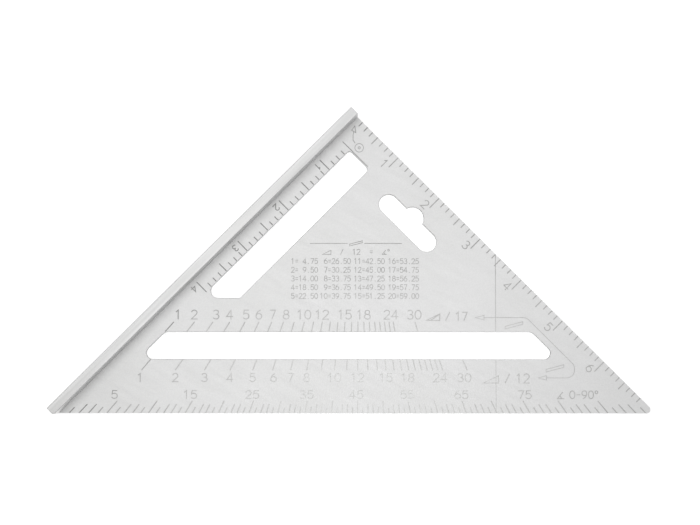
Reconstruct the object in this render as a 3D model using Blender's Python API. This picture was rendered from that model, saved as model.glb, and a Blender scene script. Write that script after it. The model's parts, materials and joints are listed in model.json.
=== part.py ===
"""Seven-inch rafter square, also called a speed square: a triangular blade let into a fence bar.

The square lies flat. +X runs along the long edge of the blade, +Y points from that edge to the
right-angled corner, and +Z is square to the blade. The origin is under the middle of the square,
level with the lower edge of the fence. Lengths are in metres.

Every mark on such a tool is measured from its pivot, the corner where the inner face of the fence
meets the free leg of the blade. So the outlines below are drawn from the pivot, in distances down
the free leg and down the fence.
"""

import math

import bmesh
import bpy
from mathutils import Vector

# Driving dimensions
LEG = 0.1844            # pivot to the sharp tip of the blade, down either side
BLADE_THICKNESS = 0.0030
FENCE_THICKNESS = 0.0042
FENCE_HEIGHT = 0.0220   # the blade leaves it halfway up
FENCE_LENGTH = 0.1852
TONGUE = 0.0020         # how far the blade is let into the fence
FIT_GAP = 0.0003        # between the blade and the sides of its groove
TIP_RADIUS = 0.0018
BLADE_BEVEL = 0.0002
FENCE_BEVEL = 0.0003

# The long slot, along the long edge: its upper side, width and slanted ends
LONG_SLOT_DROP = 0.0949         # pivot to its upper side, square to the long edge
LONG_SLOT_WIDTH = 0.0118
LONG_SLOT_TO_FENCE = 0.0074
LONG_SLOT_TO_LEG = 0.0131
LONG_SLOT_BLUNT_RADIUS = 0.0040
LONG_SLOT_SHARP_RADIUS = 0.0027

# The ruler slot, along the fence
RULER_SLOT_TO_FENCE = 0.0078
RULER_SLOT_WIDTH = 0.0123
RULER_SLOT_TO_LEG = 0.0129
RULER_SLOT_DROP = 0.0800        # pivot to its lower end, square to the long edge
RULER_SLOT_FENCE_RADIUS = 0.0016
RULER_SLOT_INNER_RADIUS = 0.0024
RULER_SLOT_BLUNT_RADIUS = 0.0010
RULER_SLOT_SHARP_RADIUS = 0.0032

# The hanging hole: a slot down the free leg, with a round bay on its outer side
HANGER_ALONG = 0.0487           # its middle, down the leg from the pivot
HANGER_DEPTH = 0.0177           # its middle line, in from the free leg
HANGER_RADIUS = 0.00435
HANGER_HALF_RUN = 0.0117        # its middle to the centre of either end
BAY_DEPTH = 0.0147
BAY_RADIUS = 0.0050

ARC_STEP = math.radians(10)
WELD = 1e-6

DIAGONAL = math.sqrt(0.5)
LONG_EDGE_DROP = LEG * DIAGONAL  # pivot to the long edge of the blade


def from_pivot(along_leg, along_fence):
    """The place of a point so far down the free leg and so far down the fence."""
    return Vector(((along_leg - along_fence) * DIAGONAL, -(along_leg + along_fence) * DIAGONAL))


def leg_at_drop(drop, along_fence):
    """How far down the leg a point is, from its drop below the pivot and its distance down the fence."""
    return drop / DIAGONAL - along_fence


def arc(centre, radius, start, sweep):
    """Points on an arc, ends included, one about every ARC_STEP."""
    steps = max(1, round(abs(sweep) / ARC_STEP))
    angles = [start + sweep * step / steps for step in range(steps + 1)]
    return [centre + radius * Vector((math.cos(angle), math.sin(angle))) for angle in angles]


def rounded(corners):
    """A closed outline through (point, radius) corners. A radius of 0 leaves its corner sharp."""
    points = []
    for index, (corner, radius) in enumerate(corners):
        if not radius:
            points.append(corner)
            continue
        back = (corners[index - 1][0] - corner).normalized()
        ahead = (corners[(index + 1) % len(corners)][0] - corner).normalized()
        half_angle = back.angle(ahead) / 2
        centre = corner + (back + ahead).normalized() * radius / math.sin(half_angle)
        first = corner + back * radius / math.tan(half_angle) - centre
        last = corner + ahead * radius / math.tan(half_angle) - centre
        sweep = -first.angle_signed(last)
        points += arc(centre, radius, math.atan2(first.y, first.x), sweep)
    return points


def blade_outline():
    """The triangle with its tongue, its rounded tip, and its end flush with the end of the fence."""
    return rounded([
        (from_pivot(-TONGUE, 0), 0),
        (from_pivot(LEG, 0), TIP_RADIUS),
        (from_pivot(LEG - FENCE_LENGTH, FENCE_LENGTH), 0),
        (from_pivot(-TONGUE, FENCE_LENGTH), 0),
    ])


def long_slot_outline():
    lower = LONG_SLOT_DROP + LONG_SLOT_WIDTH

    def at_fence(drop):
        return from_pivot(LONG_SLOT_TO_FENCE, leg_at_drop(drop, LONG_SLOT_TO_FENCE))

    def at_leg(drop):
        return from_pivot(leg_at_drop(drop, LONG_SLOT_TO_LEG), LONG_SLOT_TO_LEG)

    return rounded([
        (at_fence(LONG_SLOT_DROP), LONG_SLOT_BLUNT_RADIUS),
        (at_leg(LONG_SLOT_DROP), LONG_SLOT_BLUNT_RADIUS),
        (at_leg(lower), LONG_SLOT_SHARP_RADIUS),
        (at_fence(lower), LONG_SLOT_SHARP_RADIUS),
    ])


def ruler_slot_outline():
    inner = RULER_SLOT_TO_FENCE + RULER_SLOT_WIDTH
    return rounded([
        (from_pivot(RULER_SLOT_TO_FENCE, RULER_SLOT_TO_LEG), RULER_SLOT_FENCE_RADIUS),
        (from_pivot(inner, RULER_SLOT_TO_LEG), RULER_SLOT_INNER_RADIUS),
        (from_pivot(inner, leg_at_drop(RULER_SLOT_DROP, inner)), RULER_SLOT_BLUNT_RADIUS),
        (
            from_pivot(RULER_SLOT_TO_FENCE, leg_at_drop(RULER_SLOT_DROP, RULER_SLOT_TO_FENCE)),
            RULER_SLOT_SHARP_RADIUS,
        ),
    ])


def hanger_outline():
    """A slot with round ends, joined by the part of the bay's circle that stands out of it."""
    down_leg = math.radians(-45)
    near_end = from_pivot(HANGER_ALONG - HANGER_HALF_RUN, HANGER_DEPTH)
    far_end = from_pivot(HANGER_ALONG + HANGER_HALF_RUN, HANGER_DEPTH)
    bay = from_pivot(HANGER_ALONG, BAY_DEPTH)
    side_depth = HANGER_DEPTH - HANGER_RADIUS
    mouth = math.asin((side_depth - BAY_DEPTH) / BAY_RADIUS)
    return (
        arc(near_end, HANGER_RADIUS, down_leg - math.pi / 2, -math.pi)
        + arc(bay, BAY_RADIUS, down_leg + math.pi + mouth, -math.pi - 2 * mouth)
        + arc(far_end, HANGER_RADIUS, down_leg + math.pi / 2, -math.pi)
    )


def fence_outline():
    """The bar from above: square ends, with the blade's corner of the far end cut along the long edge."""
    return [
        from_pivot(-FENCE_THICKNESS, 0),
        from_pivot(0, 0),
        from_pivot(0, LEG),
        from_pivot(LEG - FENCE_LENGTH, FENCE_LENGTH),
        from_pivot(-FENCE_THICKNESS, FENCE_LENGTH),
    ]


def new_collection(name):
    collection = bpy.data.collections.new(name)
    bpy.context.scene.collection.children.link(collection)
    return collection


def flat_solid(name, outlines, thickness, bevel, collection):
    """A plate from closed outlines, the first one its edge and the others its openings."""
    curve = bpy.data.curves.new(name, "CURVE")
    curve.dimensions = "2D"
    curve.fill_mode = "BOTH"
    curve.extrude = thickness / 2 - bevel
    curve.bevel_depth = bevel
    curve.bevel_resolution = 0
    curve.offset = -bevel
    for outline in outlines:
        spline = curve.splines.new("POLY")
        spline.points.add(len(outline) - 1)
        for point, place in zip(spline.points, outline):
            point.co = (place.x, place.y, 0, 1)
        spline.use_cyclic_u = True
    drawing = bpy.data.objects.new(name + "_outline", curve)
    collection.objects.link(drawing)
    graph = bpy.context.evaluated_depsgraph_get()
    mesh = bpy.data.meshes.new_from_object(drawing.evaluated_get(graph))
    bpy.data.objects.remove(drawing)
    bm = bmesh.new()
    bm.from_mesh(mesh)
    bmesh.ops.remove_doubles(bm, verts=bm.verts, dist=WELD)
    bmesh.ops.recalc_face_normals(bm, faces=bm.faces)
    bm.to_mesh(mesh)
    bm.free()
    mesh.name = name
    solid = bpy.data.objects.new(name, mesh)
    collection.objects.link(solid)
    return solid


def aluminium(name, colour, roughness):
    material = bpy.data.materials.new(name)
    material.use_nodes = True
    shader = material.node_tree.nodes["Principled BSDF"]
    shader.inputs["Base Color"].default_value = (*colour, 1)
    shader.inputs["Metallic"].default_value = 0.85
    shader.inputs["Roughness"].default_value = roughness
    material.diffuse_color = (*colour, 1)
    return material


def make_blade(parts):
    outlines = [blade_outline(), long_slot_outline(), ruler_slot_outline(), hanger_outline()]
    blade = flat_solid("blade", outlines, BLADE_THICKNESS, BLADE_BEVEL, parts)
    blade.data.materials.append(aluminium("blade_aluminium", (0.72, 0.72, 0.72), 0.45))
    return blade


def make_fence(parts, cutters):
    """The bar, with a groove along its inner face that takes the tongue of the blade."""
    fence = flat_solid("fence", [fence_outline()], FENCE_HEIGHT, FENCE_BEVEL, parts)
    fence.data.materials.append(aluminium("fence_aluminium", (0.75, 0.75, 0.76), 0.40))
    overrun = FENCE_THICKNESS
    floor = -TONGUE - FIT_GAP
    groove_outline = [
        from_pivot(floor, -overrun),
        from_pivot(overrun, -overrun),
        from_pivot(overrun, FENCE_LENGTH + overrun),
        from_pivot(floor, FENCE_LENGTH + overrun),
    ]
    groove_height = BLADE_THICKNESS + 2 * FIT_GAP
    groove = flat_solid("groove_cutter", [groove_outline], groove_height, 0, cutters)
    groove.hide_render = True
    groove.display_type = "WIRE"
    cut = fence.modifiers.new("groove", "BOOLEAN")
    cut.operation = "DIFFERENCE"
    cut.solver = "EXACT"
    cut.object = groove
    return fence, groove


def main():
    for item in list(bpy.data.objects):
        bpy.data.objects.remove(item)
    parts = new_collection("speed_square")
    cutters = new_collection("cutters")

    outline = blade_outline() + fence_outline()
    middle_x = (min(p.x for p in outline) + max(p.x for p in outline)) / 2
    middle_y = (min(p.y for p in outline) + max(p.y for p in outline)) / 2
    pivot = bpy.data.objects.new("pivot", None)
    pivot.location = (-middle_x, -middle_y, FENCE_HEIGHT / 2)
    parts.objects.link(pivot)

    blade = make_blade(parts)
    fence, groove = make_fence(parts, cutters)
    for piece in (blade, fence, groove):
        piece.parent = pivot


main()
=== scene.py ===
import json
import math

import bmesh
import bpy
from mathutils import Matrix, Vector
from mathutils.geometry import delaunay_2d_cdt


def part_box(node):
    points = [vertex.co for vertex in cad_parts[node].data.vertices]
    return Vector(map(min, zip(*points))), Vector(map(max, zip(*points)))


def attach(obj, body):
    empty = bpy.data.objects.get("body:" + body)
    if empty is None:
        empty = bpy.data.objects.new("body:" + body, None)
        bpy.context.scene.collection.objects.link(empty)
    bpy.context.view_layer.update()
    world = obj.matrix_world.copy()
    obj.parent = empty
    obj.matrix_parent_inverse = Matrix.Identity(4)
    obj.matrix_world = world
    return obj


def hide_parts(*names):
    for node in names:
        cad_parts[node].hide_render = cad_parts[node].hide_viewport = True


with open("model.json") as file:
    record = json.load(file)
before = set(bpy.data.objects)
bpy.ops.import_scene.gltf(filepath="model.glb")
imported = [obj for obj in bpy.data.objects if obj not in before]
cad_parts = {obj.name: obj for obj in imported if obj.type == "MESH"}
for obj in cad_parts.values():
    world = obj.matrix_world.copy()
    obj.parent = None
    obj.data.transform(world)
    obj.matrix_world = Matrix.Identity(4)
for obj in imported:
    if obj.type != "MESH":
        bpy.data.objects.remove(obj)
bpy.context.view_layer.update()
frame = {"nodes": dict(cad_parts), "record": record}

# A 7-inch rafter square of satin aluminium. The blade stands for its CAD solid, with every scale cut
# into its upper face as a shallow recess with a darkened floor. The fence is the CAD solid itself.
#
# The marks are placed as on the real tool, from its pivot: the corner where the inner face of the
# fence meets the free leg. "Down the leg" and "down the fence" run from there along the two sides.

MM = 0.001
INCH = 0.0254

# ---------------------------------------------------------------- where things are, from the frame

MOUNTS = {mount["name"]: mount for mount in frame["record"]["mounts"]}


def flat(vector):
    """The part of a vector that lies in the blade's plane."""
    return Vector((vector[0], vector[1]))


INNER_FACE = MOUNTS["fence_upper_register"]
FREE_LEG = MOUNTS["free_leg_edge"]
DOWN_LEG = flat(INNER_FACE["axis"]).normalized()
OUT_OF_LEG = flat(FREE_LEG["axis"]).normalized()
DOWN_FENCE = -OUT_OF_LEG
PIVOT = (
    DOWN_LEG * flat(INNER_FACE["pos_m"]).dot(DOWN_LEG)
    + OUT_OF_LEG * flat(FREE_LEG["pos_m"]).dot(OUT_OF_LEG)
)
BLADE_LOW, BLADE_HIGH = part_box("blade")
TOP = BLADE_HIGH.z
LONG_EDGE = BLADE_LOW.y - PIVOT.y       # the long edge, below the pivot
RIGHT = Vector((1, 0))


def from_pivot(along_leg, along_fence):
    return PIVOT + DOWN_LEG * along_leg + DOWN_FENCE * along_fence


def below_pivot(across, down):
    """A point so far to the right of the pivot and so far below it."""
    return PIVOT + Vector((across, -down))


# ---------------------------------------------------------------- strokes

RECESS = 0.09 * MM          # how deep the marks are cut
TICK_WIDTH = 0.44 * MM
FIGURE_WIDTH = 0.40 * MM
SMALL_WIDTH = 0.29 * MM
SCRIBE_WIDTH = 0.24 * MM
HALF_INCH_WIDTH = 0.34 * MM
BOW_STEP = math.radians(24)
PATH_STEP = math.radians(15)

strokes = []                # (points, width, closed) of every mark, in metres


def stroke(points, width=TICK_WIDTH, closed=False):
    strokes.append(([Vector(point) for point in points], width, closed))


def bow(centre, radii, start, sweep):
    """Points on part of an ellipse, ends included, with its angles in degrees."""
    start, sweep = math.radians(start), math.radians(sweep)
    steps = max(3, round(abs(sweep) / BOW_STEP))
    angles = [start + sweep * step / steps for step in range(steps + 1)]
    return [(centre[0] + radii[0] * math.cos(a), centre[1] + radii[1] * math.sin(a)) for a in angles]


def ring(centre, radii):
    """A whole ellipse, to be closed, so its last point isn't its first again."""
    return bow(centre, radii, 90, 360)[:-1]


# Each figure, on a cell 1 high: its width, then its lines as (points, closed).
FIGURES = {
    "0": (0.64, [(ring((0.32, 0.5), (0.30, 0.5)), True)]),
    "1": (0.56, [([(0.06, 0.80), (0.26, 1.0), (0.26, 0.0)], False)]),
    "2": (0.62, [(bow((0.30, 0.72), (0.27, 0.28), 165, -205) + [(0.02, 0.0), (0.60, 0.0)], False)]),
    "3": (0.62, [
        (bow((0.29, 0.76), (0.25, 0.24), 150, -240), False),
        (bow((0.29, 0.27), (0.30, 0.27), 77, -225), False),
    ]),
    "4": (0.66, [([(0.46, 0.0), (0.46, 1.0), (0.02, 0.28), (0.64, 0.28)], False)]),
    "5": (0.62, [
        ([(0.55, 1.0), (0.12, 1.0), (0.07, 0.56)] + bow((0.29, 0.33), (0.30, 0.33), 120, -265), False),
    ]),
    "6": (0.62, [
        (ring((0.31, 0.31), (0.29, 0.31)), True),
        (bow((0.66, 0.31), (0.64, 0.72), 172, -62), False),
    ]),
    "7": (0.58, [([(0.02, 1.0), (0.56, 1.0), (0.20, 0.0)], False)]),
    "8": (0.62, [
        (ring((0.31, 0.76), (0.23, 0.24)), True),
        (ring((0.31, 0.27), (0.29, 0.27)), True),
    ]),
    "9": (0.62, [
        (ring((0.31, 0.69), (0.29, 0.31)), True),
        (bow((-0.04, 0.69), (0.64, 0.72), -8, -62), False),
    ]),
    ".": (0.20, [([(0.05, 0.04), (0.15, 0.04)], False)]),
    "=": (0.50, [([(0.04, 0.67), (0.46, 0.67)], False), ([(0.04, 0.33), (0.46, 0.33)], False)]),
    "/": (0.50, [([(0.02, 0.0), (0.46, 1.0)], False)]),
    "-": (0.50, [([(0.06, 0.5), (0.44, 0.5)], False)]),
    " ": (0.36, []),
    # the degree sign
    "o": (0.36, [(ring((0.18, 0.82), (0.16, 0.18)), True)]),
    # an angle
    "<": (0.80, [
        ([(0.78, 0.0), (0.02, 0.0), (0.62, 0.82)], False),
        (bow((0.02, 0.0), (0.46, 0.46), 54, -54), False),
    ]),
    # a rafter's rise on its run
    "^": (1.50, [([(0.0, 0.0), (1.5, 0.0), (1.5, 0.78)], True)]),
    # a hip across two runs
    "x": (1.50, [
        ([(0.0, 0.0), (1.5, 0.0), (1.5, 0.78)], True),
        ([(0.5, 0.0), (1.5, 0.78)], False),
    ]),
    # a rafter with plumb cuts
    "p": (2.20, [([(0.0, 0.0), (0.0, 0.36), (2.2, 1.0), (2.2, 0.64)], True)]),
}
FIGURE_SPACE = 0.14         # between two figures, as a share of their height


def write(text, centre, reading, height, width=FIGURE_WIDTH, breadth=1.1, pitch=None):
    """Figures along the direction of reading, centred.

    The breadth says how much wider the figures are than they are drawn in FIGURES. A pitch, as a share
    of the height, spaces them evenly.
    """
    rise = Vector((-reading.y, reading.x))
    takes = [pitch or FIGURES[sign][0] + FIGURE_SPACE for sign in text]
    start = -(sum(takes) - (0 if pitch else FIGURE_SPACE)) / 2
    for sign, take in zip(text, takes):
        own_width, lines = FIGURES[sign]
        margin = (pitch - own_width) / 2 if pitch else 0
        for points, closed in lines:
            stroke([
                centre + (reading * (start + margin + x) * breadth + rise * (y - 0.5)) * height
                for x, y in points
            ], width, closed)
        start += take


def rounded_path(corners, radius):
    """An open line through its corners, with each one rounded."""
    points = [corners[0]]
    for before, corner, after in zip(corners, corners[1:], corners[2:]):
        back, ahead = (before - corner).normalized(), (after - corner).normalized()
        half_angle = back.angle(ahead) / 2
        centre = corner + (back + ahead).normalized() * radius / math.sin(half_angle)
        first = corner + back * radius / math.tan(half_angle) - centre
        last = corner + ahead * radius / math.tan(half_angle) - centre
        sweep = -first.angle_signed(last)
        steps = max(2, round(abs(sweep) / PATH_STEP))
        points += [centre + Matrix.Rotation(sweep * k / steps, 2) @ first for k in range(steps + 1)]
    return points + [corners[-1]]


# ---------------------------------------------------------------- the scales

EIGHTHS = 8                 # ticks to the inch
STRAIGHT_DOWN = 45          # degrees, the ray from the pivot that is square to the long edge


def eighth_kind(eighth):
    """0 for a whole inch, 1 for a half and 2 for any other eighth."""
    if eighth % EIGHTHS == 0:
        return 0
    return 1 if eighth % (EIGHTHS // 2) == 0 else 2


def free_leg_scale():
    """Inches down the free leg, from the pivot almost to the tip."""
    lengths = (6.0 * MM, 4.1 * MM, 2.5 * MM)
    end_inch = 7
    label_lead, label_depth, label_height = 2.5 * MM, 6.4 * MM, 3.7 * MM
    for eighth in range(1, end_inch * EIGHTHS):
        along = eighth * INCH / EIGHTHS
        stroke([from_pivot(along, 0), from_pivot(along, lengths[eighth_kind(eighth)])])
    for inch in range(1, end_inch):
        write(str(inch), from_pivot(inch * INCH - label_lead, label_depth), DOWN_LEG, label_height)


def ruler_slot_scale():
    """Inches down the fence, on the strip beside it, with ticks from the edge of the ruler slot."""
    slot_edge = 7.8 * MM
    lengths = (6.0 * MM, 4.7 * MM, 2.3 * MM)
    first_eighth, last_eighth = 5, 32
    for eighth in range(first_eighth, last_eighth + 1):
        along = eighth * INCH / EIGHTHS
        end = slot_edge - lengths[eighth_kind(eighth)]
        stroke([from_pivot(slot_edge, along), from_pivot(end, along)])
    half_inch = 12.48 * MM      # just clear of the slot's upper end, which it runs along
    line_start, line_end = 3.1 * MM, 18.6 * MM
    stroke([from_pivot(line_start, half_inch), from_pivot(line_end, half_inch)], HALF_INCH_WIDTH)
    label_along_leg, label_lag, label_height = 3.1 * MM, 2.9 * MM, 2.8 * MM
    for inch in range(1, last_eighth // EIGHTHS + 1):
        write(str(inch), from_pivot(label_along_leg, inch * INCH + label_lag), DOWN_FENCE, label_height)


def degree_scale():
    """Rays from the pivot, every degree, on the long edge.

    Every fifth is long, its neighbours are short, and the two between are middling.
    """
    lengths = (5.4 * MM, 2.6 * MM, 3.9 * MM)        # by how far the degree is from a fifth
    drop = -LONG_EDGE
    for degree in range(1, 90):
        slope = math.tan(math.radians(degree - STRAIGHT_DOWN))
        length = lengths[min(degree % 5, 5 - degree % 5)]
        stroke([below_pivot(low * slope, low) for low in (drop, drop - length)])
    label_drop = drop - 8.2 * MM
    label_height = 3.4 * MM
    ray_drop = drop - 4 * MM                        # the numbers stand over the rays' places here
    nudges = {45: -0.7 * MM, 55: -0.6 * MM, 65: -0.7 * MM}      # as explained in rise_scale
    for degree in range(5, 80, 10):
        across = ray_drop * math.tan(math.radians(degree - STRAIGHT_DOWN)) + nudges.get(degree, 0)
        write(str(degree), below_pivot(across, label_drop), RIGHT, label_height, breadth=1.28)
    write("< 0-90o", below_pivot(96 * MM, label_drop), RIGHT, label_height)


RISES = (*range(1, 25), 30)             # inches of rise, with a tick each
WRITTEN_RISES = (1, 2, 3, 4, 5, 6, 7, 8, 10, 12, 15, 18, 24, 30)
COMMON_RUN = 12
HIP_RUN = COMMON_RUN * math.sqrt(2)


def rise_scale(run, first_drop, last_drop, label_drop, nudges, height, breadth):
    """Rays from the pivot at the slope of each rise on that run, with numbers by their last_drop ends.

    The real numbers aren't all centred on their ticks. nudges says which stand to the right, and how
    far, or to the left if it is negative.
    """
    def across(rise, drop):
        return drop * math.tan(math.atan(rise / run) - math.radians(STRAIGHT_DOWN))

    for rise in RISES:
        stroke([below_pivot(across(rise, drop), drop) for drop in (first_drop, last_drop)])
    for rise in WRITTEN_RISES:
        centre = below_pivot(across(rise, last_drop) + nudges.get(rise, 0), label_drop)
        write(str(rise), centre, RIGHT, height, breadth=breadth)


def common_scale():
    """The slopes of common rafters, below the long slot."""
    nudges = {1: -0.5 * MM, 6: 0.4 * MM, 18: -0.4 * MM, 24: -1.1 * MM, 30: -1.2 * MM}
    rise_scale(
        COMMON_RUN, first_drop=106.85 * MM, last_drop=111.5 * MM, label_drop=114.8 * MM,
        nudges=nudges, height=3.6 * MM, breadth=1.18,
    )
    write("^ / 12", below_pivot(65 * MM, 115.1 * MM), RIGHT, 4.0 * MM)
    write("p", below_pivot(86.2 * MM, 110.7 * MM), RIGHT, 3.2 * MM, SCRIBE_WIDTH)


def hip_scale():
    """The slopes of hip and valley rafters, above the long slot."""
    nudges = {
        1: 2.0 * MM, 3: 1.4 * MM, 5: 0.5 * MM, 7: 0.5 * MM, 8: 1.2 * MM, 24: -1.0 * MM, 30: -0.4 * MM,
    }
    rise_scale(
        HIP_RUN, first_drop=94.7 * MM, last_drop=90.6 * MM, label_drop=87.3 * MM,
        nudges=nudges, height=3.9 * MM, breadth=1.13,
    )
    write("x / 17", below_pivot(39 * MM, 88.0 * MM), RIGHT, 3.6 * MM)
    write("p", below_pivot(68.4 * MM, 91.9 * MM), RIGHT, 3.2 * MM, SCRIBE_WIDTH)


def arrowhead(tip, base, half_height):
    side = Vector((-(base - tip).y, (base - tip).x)).normalized() * half_height
    stroke([tip, base + side, base - side], SCRIBE_WIDTH, True)


def leader():
    """The line that ties the two slope scales together, with an arrowhead on either end."""
    upper, lower = 88.55 * MM, 114.85 * MM
    upper_tip, lower_tip = 51.4 * MM, 78.8 * MM
    upper_base, lower_base = 55.3 * MM, 82.5 * MM
    turn, far = 73.9 * MM, 94.75 * MM
    turn_radius = 3.4 * MM
    path = [
        below_pivot(upper_base, upper), below_pivot(turn, upper),
        below_pivot(far, upper + far - turn), below_pivot(far, lower),
        below_pivot(lower_base, lower),
    ]
    stroke(rounded_path(path, turn_radius), SCRIBE_WIDTH)
    arrowhead(below_pivot(upper_tip, upper), path[0], half_height=1.0 * MM)
    arrowhead(below_pivot(lower_tip, lower), path[-1], half_height=0.95 * MM)


def pivot_arrow():
    """An arrow at the pivot, on a bent stem, from the sign for a pivot: a ring round a point."""
    tip = below_pivot(-1.35 * MM, 4.0 * MM)
    left = below_pivot(-2.75 * MM, 5.9 * MM)
    right = below_pivot(-0.85 * MM, 7.0 * MM)
    stroke([tip, left, right], SCRIBE_WIDTH, True)
    stem = [
        (left + right) / 2, below_pivot(-2.1 * MM, 8.0 * MM),
        below_pivot(-2.1 * MM, 10.3 * MM), below_pivot(-1.2 * MM, 11.6 * MM),
    ]
    stroke(stem, SCRIBE_WIDTH)
    eye = below_pivot(0.6 * MM, 13.7 * MM)
    ring_radius, point_radius = 1.9 * MM, 0.5 * MM
    for radius in (ring_radius, point_radius):
        stroke([eye + Vector(point) for point in ring((0, 0), (radius, radius))], SCRIBE_WIDTH, True)


def scribed_line():
    """A fine line square to the long edge, from the free leg down to it, broken by the long slot."""
    across = 60.4 * MM
    top = across + 0.6 * MM             # the free leg is as far below the pivot as it is across
    slot_top, slot_bottom = 94.6 * MM, 107.0 * MM
    bottom = -LONG_EDGE - 0.35 * MM
    for start, end in ((top, slot_top), (slot_bottom, bottom)):
        stroke([below_pivot(across, start), below_pivot(across, end)], SCRIBE_WIDTH)


def rafter_table():
    """A roof's angle, to a quarter of a degree, for each rise from 1 to 20 inches on a run of 12."""
    height, pitch = 2.3 * MM, 1.70 * MM
    rows, row_pitch, first_drop = 5, 3.83 * MM, 63.8 * MM
    column_ends = (-17.4 * MM, -3.0 * MM, 11.9 * MM, 26.9 * MM)
    middle, heading_drop, rule_drop = -0.8 * MM, 59.7 * MM, 56.0 * MM
    rules = ((-20.9 * MM, -4.6 * MM), (3.0 * MM, 19.3 * MM))
    for column, end in enumerate(column_ends):
        for row in range(rows):
            rise = column * rows + row + 1
            angle = round(math.degrees(math.atan(rise / COMMON_RUN)) * 4) / 4
            text = f"{rise}={angle:5.2f}"
            centre = below_pivot(end - len(text) * pitch / 2, first_drop + row * row_pitch)
            write(text, centre, RIGHT, height, SMALL_WIDTH, breadth=1, pitch=pitch / height)
    write("^   /   12   =   <o", below_pivot(middle, heading_drop), RIGHT, height, SMALL_WIDTH)
    write("p", below_pivot(middle, rule_drop), RIGHT, height, SMALL_WIDTH)
    for start, end in rules:
        stroke([below_pivot(start, rule_drop), below_pivot(end, rule_drop)], SMALL_WIDTH)


# ---------------------------------------------------------------- cutting the strokes into the blade

CDT_UNIT = MM               # the flat triangulation works in millimetres from the pivot
CDT_EPSILON = 1e-4
LEAST_MITRE = 0.4           # keeps a sharp turn of a stroke from making a long spike
END_ROUNDING = math.sqrt(0.5)       # puts the corners of an open end on a half circle
SAME_PLACE = 1e-6


def stroke_faces(points, width, closed):
    """Triangles that cover a stroke: two to a leg, sharing mitred corners, and two on each open end."""
    half = width / 2
    count = len(points)
    corners, faces = [], []
    for index, point in enumerate(points):
        before = points[index - 1] if closed or index else None
        after = points[(index + 1) % count] if closed or index < count - 1 else None
        ahead = (after - point).normalized() if after else (point - before).normalized()
        back = (point - before).normalized() if before else ahead
        side = Vector((-(ahead + back).y, (ahead + back).x)).normalized()
        reach = half / max(LEAST_MITRE, side.dot(Vector((-ahead.y, ahead.x))))
        corners += [point + side * reach, point - side * reach]
    for index in range(count if closed else count - 1):
        here, there = 2 * index, 2 * ((index + 1) % count)
        faces += [[here + 1, there + 1, there], [here + 1, there, here]]
    if not closed:
        for index, other in ((0, 1), (count - 1, count - 2)):
            out = (points[index] - points[other]).normalized() * half
            here, tip = 2 * index, len(corners)
            for side in (corners[here], corners[here + 1]):
                corners.append(points[index] + (side - points[index] + out) * END_ROUNDING)
            faces += [[here, here + 1, tip + 1], [here, tip + 1, tip]]
    return corners, faces


def twice_area(face, places):
    return sum(places[a].cross(places[b]) for a, b in zip(face, face[1:] + face[:1]))


def turned_ccw(face, places):
    return face if twice_area(face, places) > 0 else face[::-1]


def cap_loops(bm, cap):
    """The closed loops of vertices round the cap: round its outline and round each of its openings."""
    rim = dict.fromkeys(e for e in bm.edges if sum(face in cap for face in e.link_faces) == 1)
    loops = []
    while rim:
        edge = next(iter(rim))
        del rim[edge]
        loop, vertex = [edge.verts[0]], edge.verts[1]
        while vertex is not loop[0]:
            loop.append(vertex)
            edge = next(e for e in vertex.link_edges if e in rim)
            del rim[edge]
            vertex = edge.other_vert(vertex)
        loops.append(loop)
    return loops


def directed_edges(face):
    return list(zip(face, face[1:] + face[:1]))


def split_rim(bm, loops, crossings):
    """Gives the rim a vertex wherever a mark crosses it, and returns these vertices by index.

    crossings maps an index to a place on the rim.
    """
    made = {}
    for loop in loops:
        for start, end in directed_edges(loop):
            along = flat(end.co - start.co)
            length = along.length
            along.normalize()
            on_edge = []
            for index, place in crossings.items():
                reach = (place - flat(start.co)).dot(along)
                aside = abs((place - flat(start.co)).cross(along))
                if aside < SAME_PLACE and 0 < reach < length:
                    on_edge.append((reach, index, place))
            for _, index, place in sorted(on_edge, reverse=True):
                made[index] = bmesh.utils.edge_split(bm.edges.get((start, end)), start, 0.5)[1]
                made[index].co = (place.x, place.y, TOP)
                end = made[index]
    return made


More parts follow.
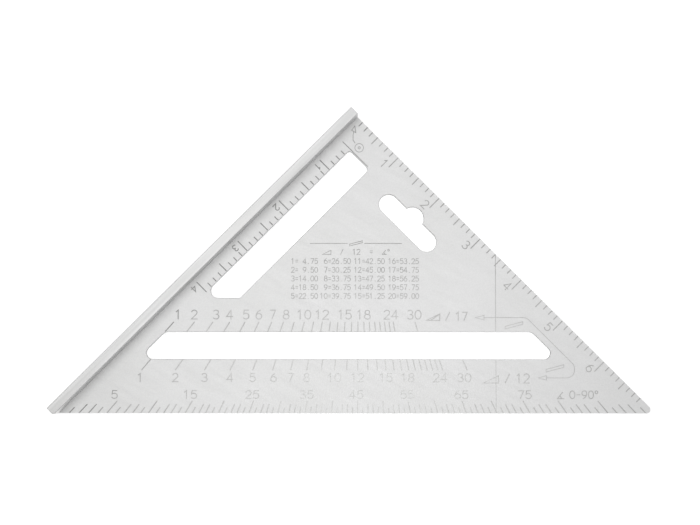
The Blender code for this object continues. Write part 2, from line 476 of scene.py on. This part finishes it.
def engraved_top(bm, skin, engraving):
    """Replaces the flat top of the blade with one that has every stroke sunk into it.

    The cap and its rim are dicts and not sets, because their order is the same in every run.
    """
    cap = dict.fromkeys(f for f in bm.faces if all(abs(v.co.z - TOP) < SAME_PLACE for v in f.verts))
    loops = cap_loops(bm, cap)
    rim = [vertex for loop in loops for vertex in loop]
    bmesh.ops.delete(bm, geom=list(cap), context="FACES")

    places = [(flat(vertex.co) - PIVOT) / CDT_UNIT for vertex in rim]
    faces, first = [], 0
    for loop in loops:
        faces.append(turned_ccw(list(range(first, first + len(loop))), places))
        first += len(loop)
    outline = max(range(len(loops)), key=lambda index: abs(twice_area(faces[index], places)))
    openings = set(range(len(loops))) - {outline}
    for points, width, closed in strokes:
        corners, legs = stroke_faces(points, width, closed)
        base = len(places)
        places += [(corner - PIVOT) / CDT_UNIT for corner in corners]
        for leg in legs:
            face = turned_ccw([base + corner for corner in leg], places)
            if twice_area(face, places) > CDT_EPSILON:
                faces.append(face)

    spots, _, triangles, came_from, _, owners = delaunay_2d_cdt(places, [], faces, 1, CDT_EPSILON)
    spots = [PIVOT + spot * CDT_UNIT for spot in spots]
    kept = []
    for triangle, owned in zip(triangles, owners):
        if outline in owned and not openings.intersection(owned):
            kept.append((triangle, max(owned) >= len(loops)))
    sides = {side: sunk for triangle, sunk in kept for side in directed_edges(triangle)}
    known = ({}, {})            # vertices by index, level with the top and sunk
    for index, sources in enumerate(came_from):
        on_rim = [source for source in sources if source < len(rim)]
        if on_rim:
            known[0][index] = rim[on_rim[0]]
    open_ends = {end for side in sides if side[::-1] not in sides for end in side}
    known[0].update(split_rim(bm, loops, {end: spots[end] for end in open_ends - set(known[0])}))

    def vertex_at(level, index):
        if index not in known[level]:
            known[level][index] = bm.verts.new((*spots[index], TOP - level * RECESS))
        return known[level][index]

    for triangle, sunk in kept:
        face = bm.faces.new([vertex_at(sunk, index) for index in triangle])
        face.material_index = engraving if sunk else skin
    for (a, b), sunk in sides.items():
        if sunk and not sides.get((b, a)):
            wall = [vertex_at(1, a), vertex_at(1, b), vertex_at(0, b), vertex_at(0, a)]
            bm.faces.new(wall[::-1]).material_index = engraving


# ---------------------------------------------------------------- materials

NOISE_LOW, NOISE_HIGH = 0.3, 0.7        # noise seldom leaves this range


def new_material(name, colour, metallic, roughness):
    material = bpy.data.materials.new(name)
    material.use_nodes = True
    shader = material.node_tree.nodes["Principled BSDF"]
    shader.inputs["Base Color"].default_value = (*colour, 1)
    shader.inputs["Metallic"].default_value = metallic
    shader.inputs["Roughness"].default_value = roughness
    return material, material.node_tree, shader


def noise(tree, scale, detail, stretch=(1, 1, 1), turn=0.0):
    """Noise at that scale on the object's own coordinates, turned about Z and then stretched."""
    place = tree.nodes.new("ShaderNodeTexCoord")
    turned = tree.nodes.new("ShaderNodeMapping")
    turned.inputs["Rotation"].default_value = (0, 0, turn)
    stretched = tree.nodes.new("ShaderNodeMapping")
    stretched.inputs["Scale"].default_value = stretch
    texture = tree.nodes.new("ShaderNodeTexNoise")
    texture.inputs["Scale"].default_value = scale
    texture.inputs["Detail"].default_value = detail
    tree.links.new(place.outputs["Object"], turned.inputs["Vector"])
    tree.links.new(turned.outputs["Vector"], stretched.inputs["Vector"])
    tree.links.new(stretched.outputs["Vector"], texture.inputs["Vector"])
    return texture.outputs["Fac"]


def ramp(tree, source, stops):
    """A colour ramp from (place, grey or colour) stops."""
    node = tree.nodes.new("ShaderNodeValToRGB")
    elements = node.color_ramp.elements
    while len(elements) < len(stops):
        elements.new(0.5)
    for element, (place, colour) in zip(elements, stops):
        element.position = place
        element.color = (*((colour,) * 3 if isinstance(colour, float) else colour), 1)
    tree.links.new(source, node.inputs["Fac"])
    return node.outputs["Color"]


def multiplied(tree, first, second):
    node = tree.nodes.new("ShaderNodeMix")
    node.data_type = "RGBA"
    node.blend_type = "MULTIPLY"
    node.inputs["Factor"].default_value = 1.0
    tree.links.new(first, node.inputs["A"])
    tree.links.new(second, node.inputs["B"])
    return node.outputs["Result"]


def bumped(tree, shader, heights):
    """Chains one bump for each (height, strength, distance)."""
    normal = None
    for height, strength, distance in heights:
        node = tree.nodes.new("ShaderNodeBump")
        node.inputs["Strength"].default_value = strength
        node.inputs["Distance"].default_value = distance
        tree.links.new(height, node.inputs["Height"])
        if normal:
            tree.links.new(normal, node.inputs["Normal"])
        normal = node.outputs["Normal"]
    tree.links.new(normal, shader.inputs["Normal"])


def ranged(tree, source, low, high):
    """Noise spread over the values from low to high."""
    node = tree.nodes.new("ShaderNodeMapRange")
    node.inputs["From Min"].default_value = NOISE_LOW
    node.inputs["From Max"].default_value = NOISE_HIGH
    node.inputs["To Min"].default_value = low
    node.inputs["To Max"].default_value = high
    tree.links.new(source, node.inputs["Value"])
    return node.outputs["Result"]


def away_from_fence(tree, near, far):
    """0 up to the first distance from the fence's inner face, rising to 1 at the second."""
    place = tree.nodes.new("ShaderNodeTexCoord")
    down_leg = tree.nodes.new("ShaderNodeVectorMath")
    down_leg.operation = "DOT_PRODUCT"
    down_leg.inputs[1].default_value = (*DOWN_LEG, 0)
    tree.links.new(place.outputs["Object"], down_leg.inputs[0])
    share = tree.nodes.new("ShaderNodeMapRange")
    share.inputs["From Min"].default_value = PIVOT.dot(DOWN_LEG) + near
    share.inputs["From Max"].default_value = PIVOT.dot(DOWN_LEG) + far
    tree.links.new(down_leg.outputs["Value"], share.inputs["Value"])
    return share.outputs["Result"]


FENCE_ROOT_SHADE = (1.0 * MM, 4.5 * MM)           # painted shade darkens the blade by the fence, fading between these


def blasted_aluminium():
    """The blade's faces: an even blasted satin, a little cloudy, with fine grain and faint rubs, and
    painted shade by the fence.
    """
    material, tree, shader = new_material("blasted_aluminium", (0.78, 0.78, 0.775), 0.9, 0.42)
    clouds = noise(tree, 28, 3)
    grain = noise(tree, 2200, 2)
    rubs = noise(tree, 60, 4, (1.0, 9.0, 1.0), math.radians(28))
    colour = ramp(tree, clouds, [(0.3, (0.81, 0.81, 0.805)), (0.7, (0.835, 0.835, 0.835))])
    colour = multiplied(tree, colour, ramp(tree, grain, [(0.25, 0.93), (0.75, 1.0)]))
    colour = multiplied(tree, colour, ramp(tree, rubs, [(0.35, 0.993), (0.65, 1.0)]))
    # painted shade: the blade darkens towards the fence's inner face, where the fence shades it
    out_of_root_shade = away_from_fence(tree, *FENCE_ROOT_SHADE)
    colour = multiplied(tree, colour, ramp(tree, out_of_root_shade, [(0.0, 0.87), (1.0, 1.0)]))
    tree.links.new(colour, shader.inputs["Base Color"])
    tree.links.new(ranged(tree, rubs, 0.46, 0.49), shader.inputs["Roughness"])
    bumped(tree, shader, [(grain, 0.35, 0.03 * MM)])
    return material


def drawn_aluminium():
    """The fence: pale satin, with fine lines along the bar left by the die."""
    material, tree, shader = new_material("drawn_aluminium", (0.67, 0.67, 0.67), 0.9, 0.38)
    along_bar = math.radians(-45)
    lines = noise(tree, 1500, 2, (0.012, 1.0, 1.0), along_bar)
    grain = noise(tree, 1800, 2)
    clouds = noise(tree, 22, 3)
    colour = ramp(tree, clouds, [(0.3, (0.66, 0.66, 0.655)), (0.7, (0.69, 0.69, 0.69))])
    colour = multiplied(tree, colour, ramp(tree, lines, [(0.3, 0.95), (0.7, 1.0)]))
    tree.links.new(colour, shader.inputs["Base Color"])
    tree.links.new(ranged(tree, lines, 0.32, 0.46), shader.inputs["Roughness"])
    bumped(tree, shader, [(lines, 0.3, 0.03 * MM), (grain, 0.2, 0.02 * MM)])
    return material


PAINTED_GLARE_CENTRE = (0.006, -0.062, 0.0)      # a painted reflection makes the marks faintest here, low on the middle of the blade
PAINTED_GLARE_REACH = (0.125, 0.070)             # and the painted reflection has gone this far from it, across and up
FENCE_SHADE_ON_MARKS = (7 * MM, 13 * MM)             # painted shade makes the marks by the fence darker still, fading between these


def darkened_recess():
    """The marks: etched and grey, with a painted reflection making them paler towards the middle of the
    long edge and painted shade making them darker by the fence.
    """
    material, tree, shader = new_material("darkened_recess", (0.5, 0.5, 0.49), 0.85, 0.55)
    place = tree.nodes.new("ShaderNodeTexCoord")
    reach = tree.nodes.new("ShaderNodeMapping")
    reach.vector_type = "TEXTURE"
    reach.inputs["Location"].default_value = PAINTED_GLARE_CENTRE
    reach.inputs["Scale"].default_value = (*PAINTED_GLARE_REACH, 1)
    wear_and_painted_glare = tree.nodes.new("ShaderNodeTexGradient")
    wear_and_painted_glare.gradient_type = "SPHERICAL"
    tree.links.new(place.outputs["Object"], reach.inputs["Vector"])
    tree.links.new(reach.outputs["Vector"], wear_and_painted_glare.inputs["Vector"])
    # painted reflection: the marks pale towards the middle of the long edge
    colour = ramp(tree, wear_and_painted_glare.outputs["Color"], [(0.0, (0.58, 0.58, 0.57)), (0.8, (0.93, 0.93, 0.92))])
    # painted shade: the marks darken near the fence
    out_of_fence_shade = away_from_fence(tree, *FENCE_SHADE_ON_MARKS)
    colour = multiplied(tree, colour, ramp(tree, out_of_fence_shade, [(0.0, 0.70), (1.0, 1.0)]))
    patches = noise(tree, 220, 3)
    grain = noise(tree, 2600, 2)
    colour = multiplied(tree, colour, ramp(tree, patches, [(0.3, 0.90), (0.7, 1.0)]))
    tree.links.new(colour, shader.inputs["Base Color"])
    tree.links.new(ranged(tree, grain, 0.5, 0.7), shader.inputs["Roughness"])
    bumped(tree, shader, [(grain, 0.4, 0.02 * MM)])
    return material


def bare_edge():
    """The chamfers, where handling has rubbed the satin down to brighter metal."""
    material, tree, shader = new_material("bare_edge", (0.93, 0.93, 0.93), 0.9, 0.5)
    wear_and_painted_glare = noise(tree, 300, 3)
    tree.links.new(ramp(tree, wear_and_painted_glare, [(0.35, 0.90), (0.65, 0.96)]), shader.inputs["Base Color"])
    tree.links.new(ranged(tree, wear_and_painted_glare, 0.44, 0.58), shader.inputs["Roughness"])
    bumped(tree, shader, [(wear_and_painted_glare, 0.2, 0.03 * MM)])
    return material


def punched_wall():
    """The blade's upright sides, all round it and in its openings: dull, with upright drag lines, their
    grey darkened further as painted shade.
    """
    material, tree, shader = new_material("punched_wall", (0.42, 0.42, 0.42), 0.8, 0.5)
    drags = noise(tree, 900, 3, (1.0, 1.0, 0.05))
    # painted shade: the walls are kept far darker than the blade's faces
    tree.links.new(ramp(tree, drags, [(0.3, 0.36), (0.7, 0.46)]), shader.inputs["Base Color"])
    tree.links.new(ranged(tree, drags, 0.45, 0.60), shader.inputs["Roughness"])
    bumped(tree, shader, [(drags, 0.4, 0.04 * MM)])
    return material


# ---------------------------------------------------------------- pieces

SKIN, ENGRAVING, EDGE, WALL = range(4)      # the blade's kinds of face, in the order of its materials
SHARP_ANGLE = math.radians(30)
FLAT_TILT = 0.95            # how far up or down the normal of a flat face points, at least
UPRIGHT_TILT = 0.2          # and that of an upright face, at most


def kind_of_face(face):
    """The blade's faces are flat on, upright, or on the narrow chamfers between the two."""
    if abs(face.normal.z) > FLAT_TILT:
        return SKIN
    return EDGE if abs(face.normal.z) > UPRIGHT_TILT else WALL


def make_blade():
    """The CAD blade with its top engraved, and each kind of face in its own material."""
    bm = bmesh.new()
    bm.from_mesh(frame["nodes"]["blade"].data)
    bmesh.ops.remove_doubles(bm, verts=bm.verts, dist=SAME_PLACE)
    bmesh.ops.recalc_face_normals(bm, faces=bm.faces)
    for face in bm.faces:
        face.material_index = kind_of_face(face)
    engraved_top(bm, SKIN, ENGRAVING)
    bm.normal_update()
    for face in bm.faces:
        face.smooth = True
    for edge in bm.edges:
        edge.smooth = edge.calc_face_angle() < SHARP_ANGLE
    mesh = bpy.data.meshes.new("engraved_blade")
    bm.to_mesh(mesh)
    bm.free()
    for material in (blasted_aluminium(), darkened_recess(), bare_edge(), punched_wall()):
        mesh.materials.append(material)
    blade = bpy.data.objects.new("engraved_blade", mesh)
    bpy.context.scene.collection.objects.link(blade)
    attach(blade, "root")
    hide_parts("blade")


def dress_fence():
    fence = frame["nodes"]["fence"]
    fence.data.materials.clear()
    fence.data.materials.append(drawn_aluminium())


# ---------------------------------------------------------------- stage, light and camera

FLOOR_SIZE = 0.9
FLOOR_CELLS = 8             # to each side
FLOOR_GAP = 0.1 * MM        # below what it carries
FLOOR_GLOW = 0.55           # keeps the floor near white where the square shades it


def make_floor():
    """A pale plane on which the square leans, with the fence's inner lower edge and the blade's tip."""
    tip_reach = (flat((BLADE_HIGH.x, BLADE_LOW.y, 0)) - PIVOT).dot(DOWN_LEG)
    slope = BLADE_LOW.z / tip_reach
    bpy.ops.mesh.primitive_grid_add(
        x_subdivisions=FLOOR_CELLS, y_subdivisions=FLOOR_CELLS, size=FLOOR_SIZE,
    )
    floor = bpy.context.object
    floor.name = "floor"
    for vertex in floor.data.vertices:
        vertex.co.z = (flat(vertex.co) - PIVOT).dot(DOWN_LEG) * slope - FLOOR_GAP
    material, tree, shader = new_material("pale_floor", (0.9, 0.9, 0.9), 0.0, 0.9)
    shader.inputs["Emission Color"].default_value = (1, 1, 1, 1)
    shader.inputs["Emission Strength"].default_value = FLOOR_GLOW
    paper = noise(tree, 150, 2)
    tree.links.new(ramp(tree, paper, [(0.3, 0.89), (0.7, 0.91)]), shader.inputs["Base Color"])
    floor.data.materials.append(material)


HORIZON = 0.62              # the room's brightness, low down and overhead
ZENITH = 0.46
SOFTBOX_SIZE = 0.75
SOFTBOX_POWER = 1.80
SOFTBOX_PLACE = Vector((-0.03, 0.0, 0.98))


def make_softbox():
    data = bpy.data.lights.new("softbox", "AREA")
    data.shape = "DISK"
    data.size = SOFTBOX_SIZE
    data.energy = SOFTBOX_POWER
    light = bpy.data.objects.new("softbox", data)
    light.location = SOFTBOX_PLACE
    light.rotation_mode = "QUATERNION"
    light.rotation_quaternion = (Vector((0, 0, TOP)) - SOFTBOX_PLACE).to_track_quat("-Z", "Y")
    bpy.context.scene.collection.objects.link(light)


def light_scene():
    """A plain pale room, a little brighter low down, with one softbox over the square."""
    world = bpy.data.worlds.new("studio")
    world.use_nodes = True
    tree = world.node_tree
    background = tree.nodes["Background"]
    place = tree.nodes.new("ShaderNodeTexCoord")
    parts = tree.nodes.new("ShaderNodeSeparateXYZ")
    tree.links.new(place.outputs["Generated"], parts.inputs["Vector"])
    sky = ramp(tree, parts.outputs["Z"], [(0.0, HORIZON), (0.5, ZENITH)])
    tree.links.new(sky, background.inputs["Color"])
    bpy.context.scene.world = world
    make_softbox()
    bpy.context.scene.view_settings.view_transform = "Standard"


CAMERA_FROM_PIVOT = Vector((-0.00616, -0.11265, 0.70048))   # the pivot on the blade's upper face
CAMERA_TILT = (math.radians(3.940), math.radians(-0.228), math.radians(0.042))
SENSOR_WIDTH = 36.0                                         # mm, as the focal length
FOCAL_LENGTH = SENSOR_WIDTH * 16 / 7


def make_camera():
    data = bpy.data.cameras.new("camera")
    data.sensor_fit = "HORIZONTAL"
    data.sensor_width = SENSOR_WIDTH
    data.lens = FOCAL_LENGTH
    data.clip_start = 0.01
    data.clip_end = 10
    camera = bpy.data.objects.new("camera", data)
    camera.location = Vector((PIVOT.x, PIVOT.y, TOP)) + CAMERA_FROM_PIVOT
    camera.rotation_euler = CAMERA_TILT
    bpy.context.scene.collection.objects.link(camera)
    bpy.context.scene.camera = camera


free_leg_scale()
ruler_slot_scale()
degree_scale()
common_scale()
hip_scale()
leader()
pivot_arrow()
scribed_line()
rafter_table()

make_blade()
dress_fence()
make_floor()
light_scene()
make_camera()
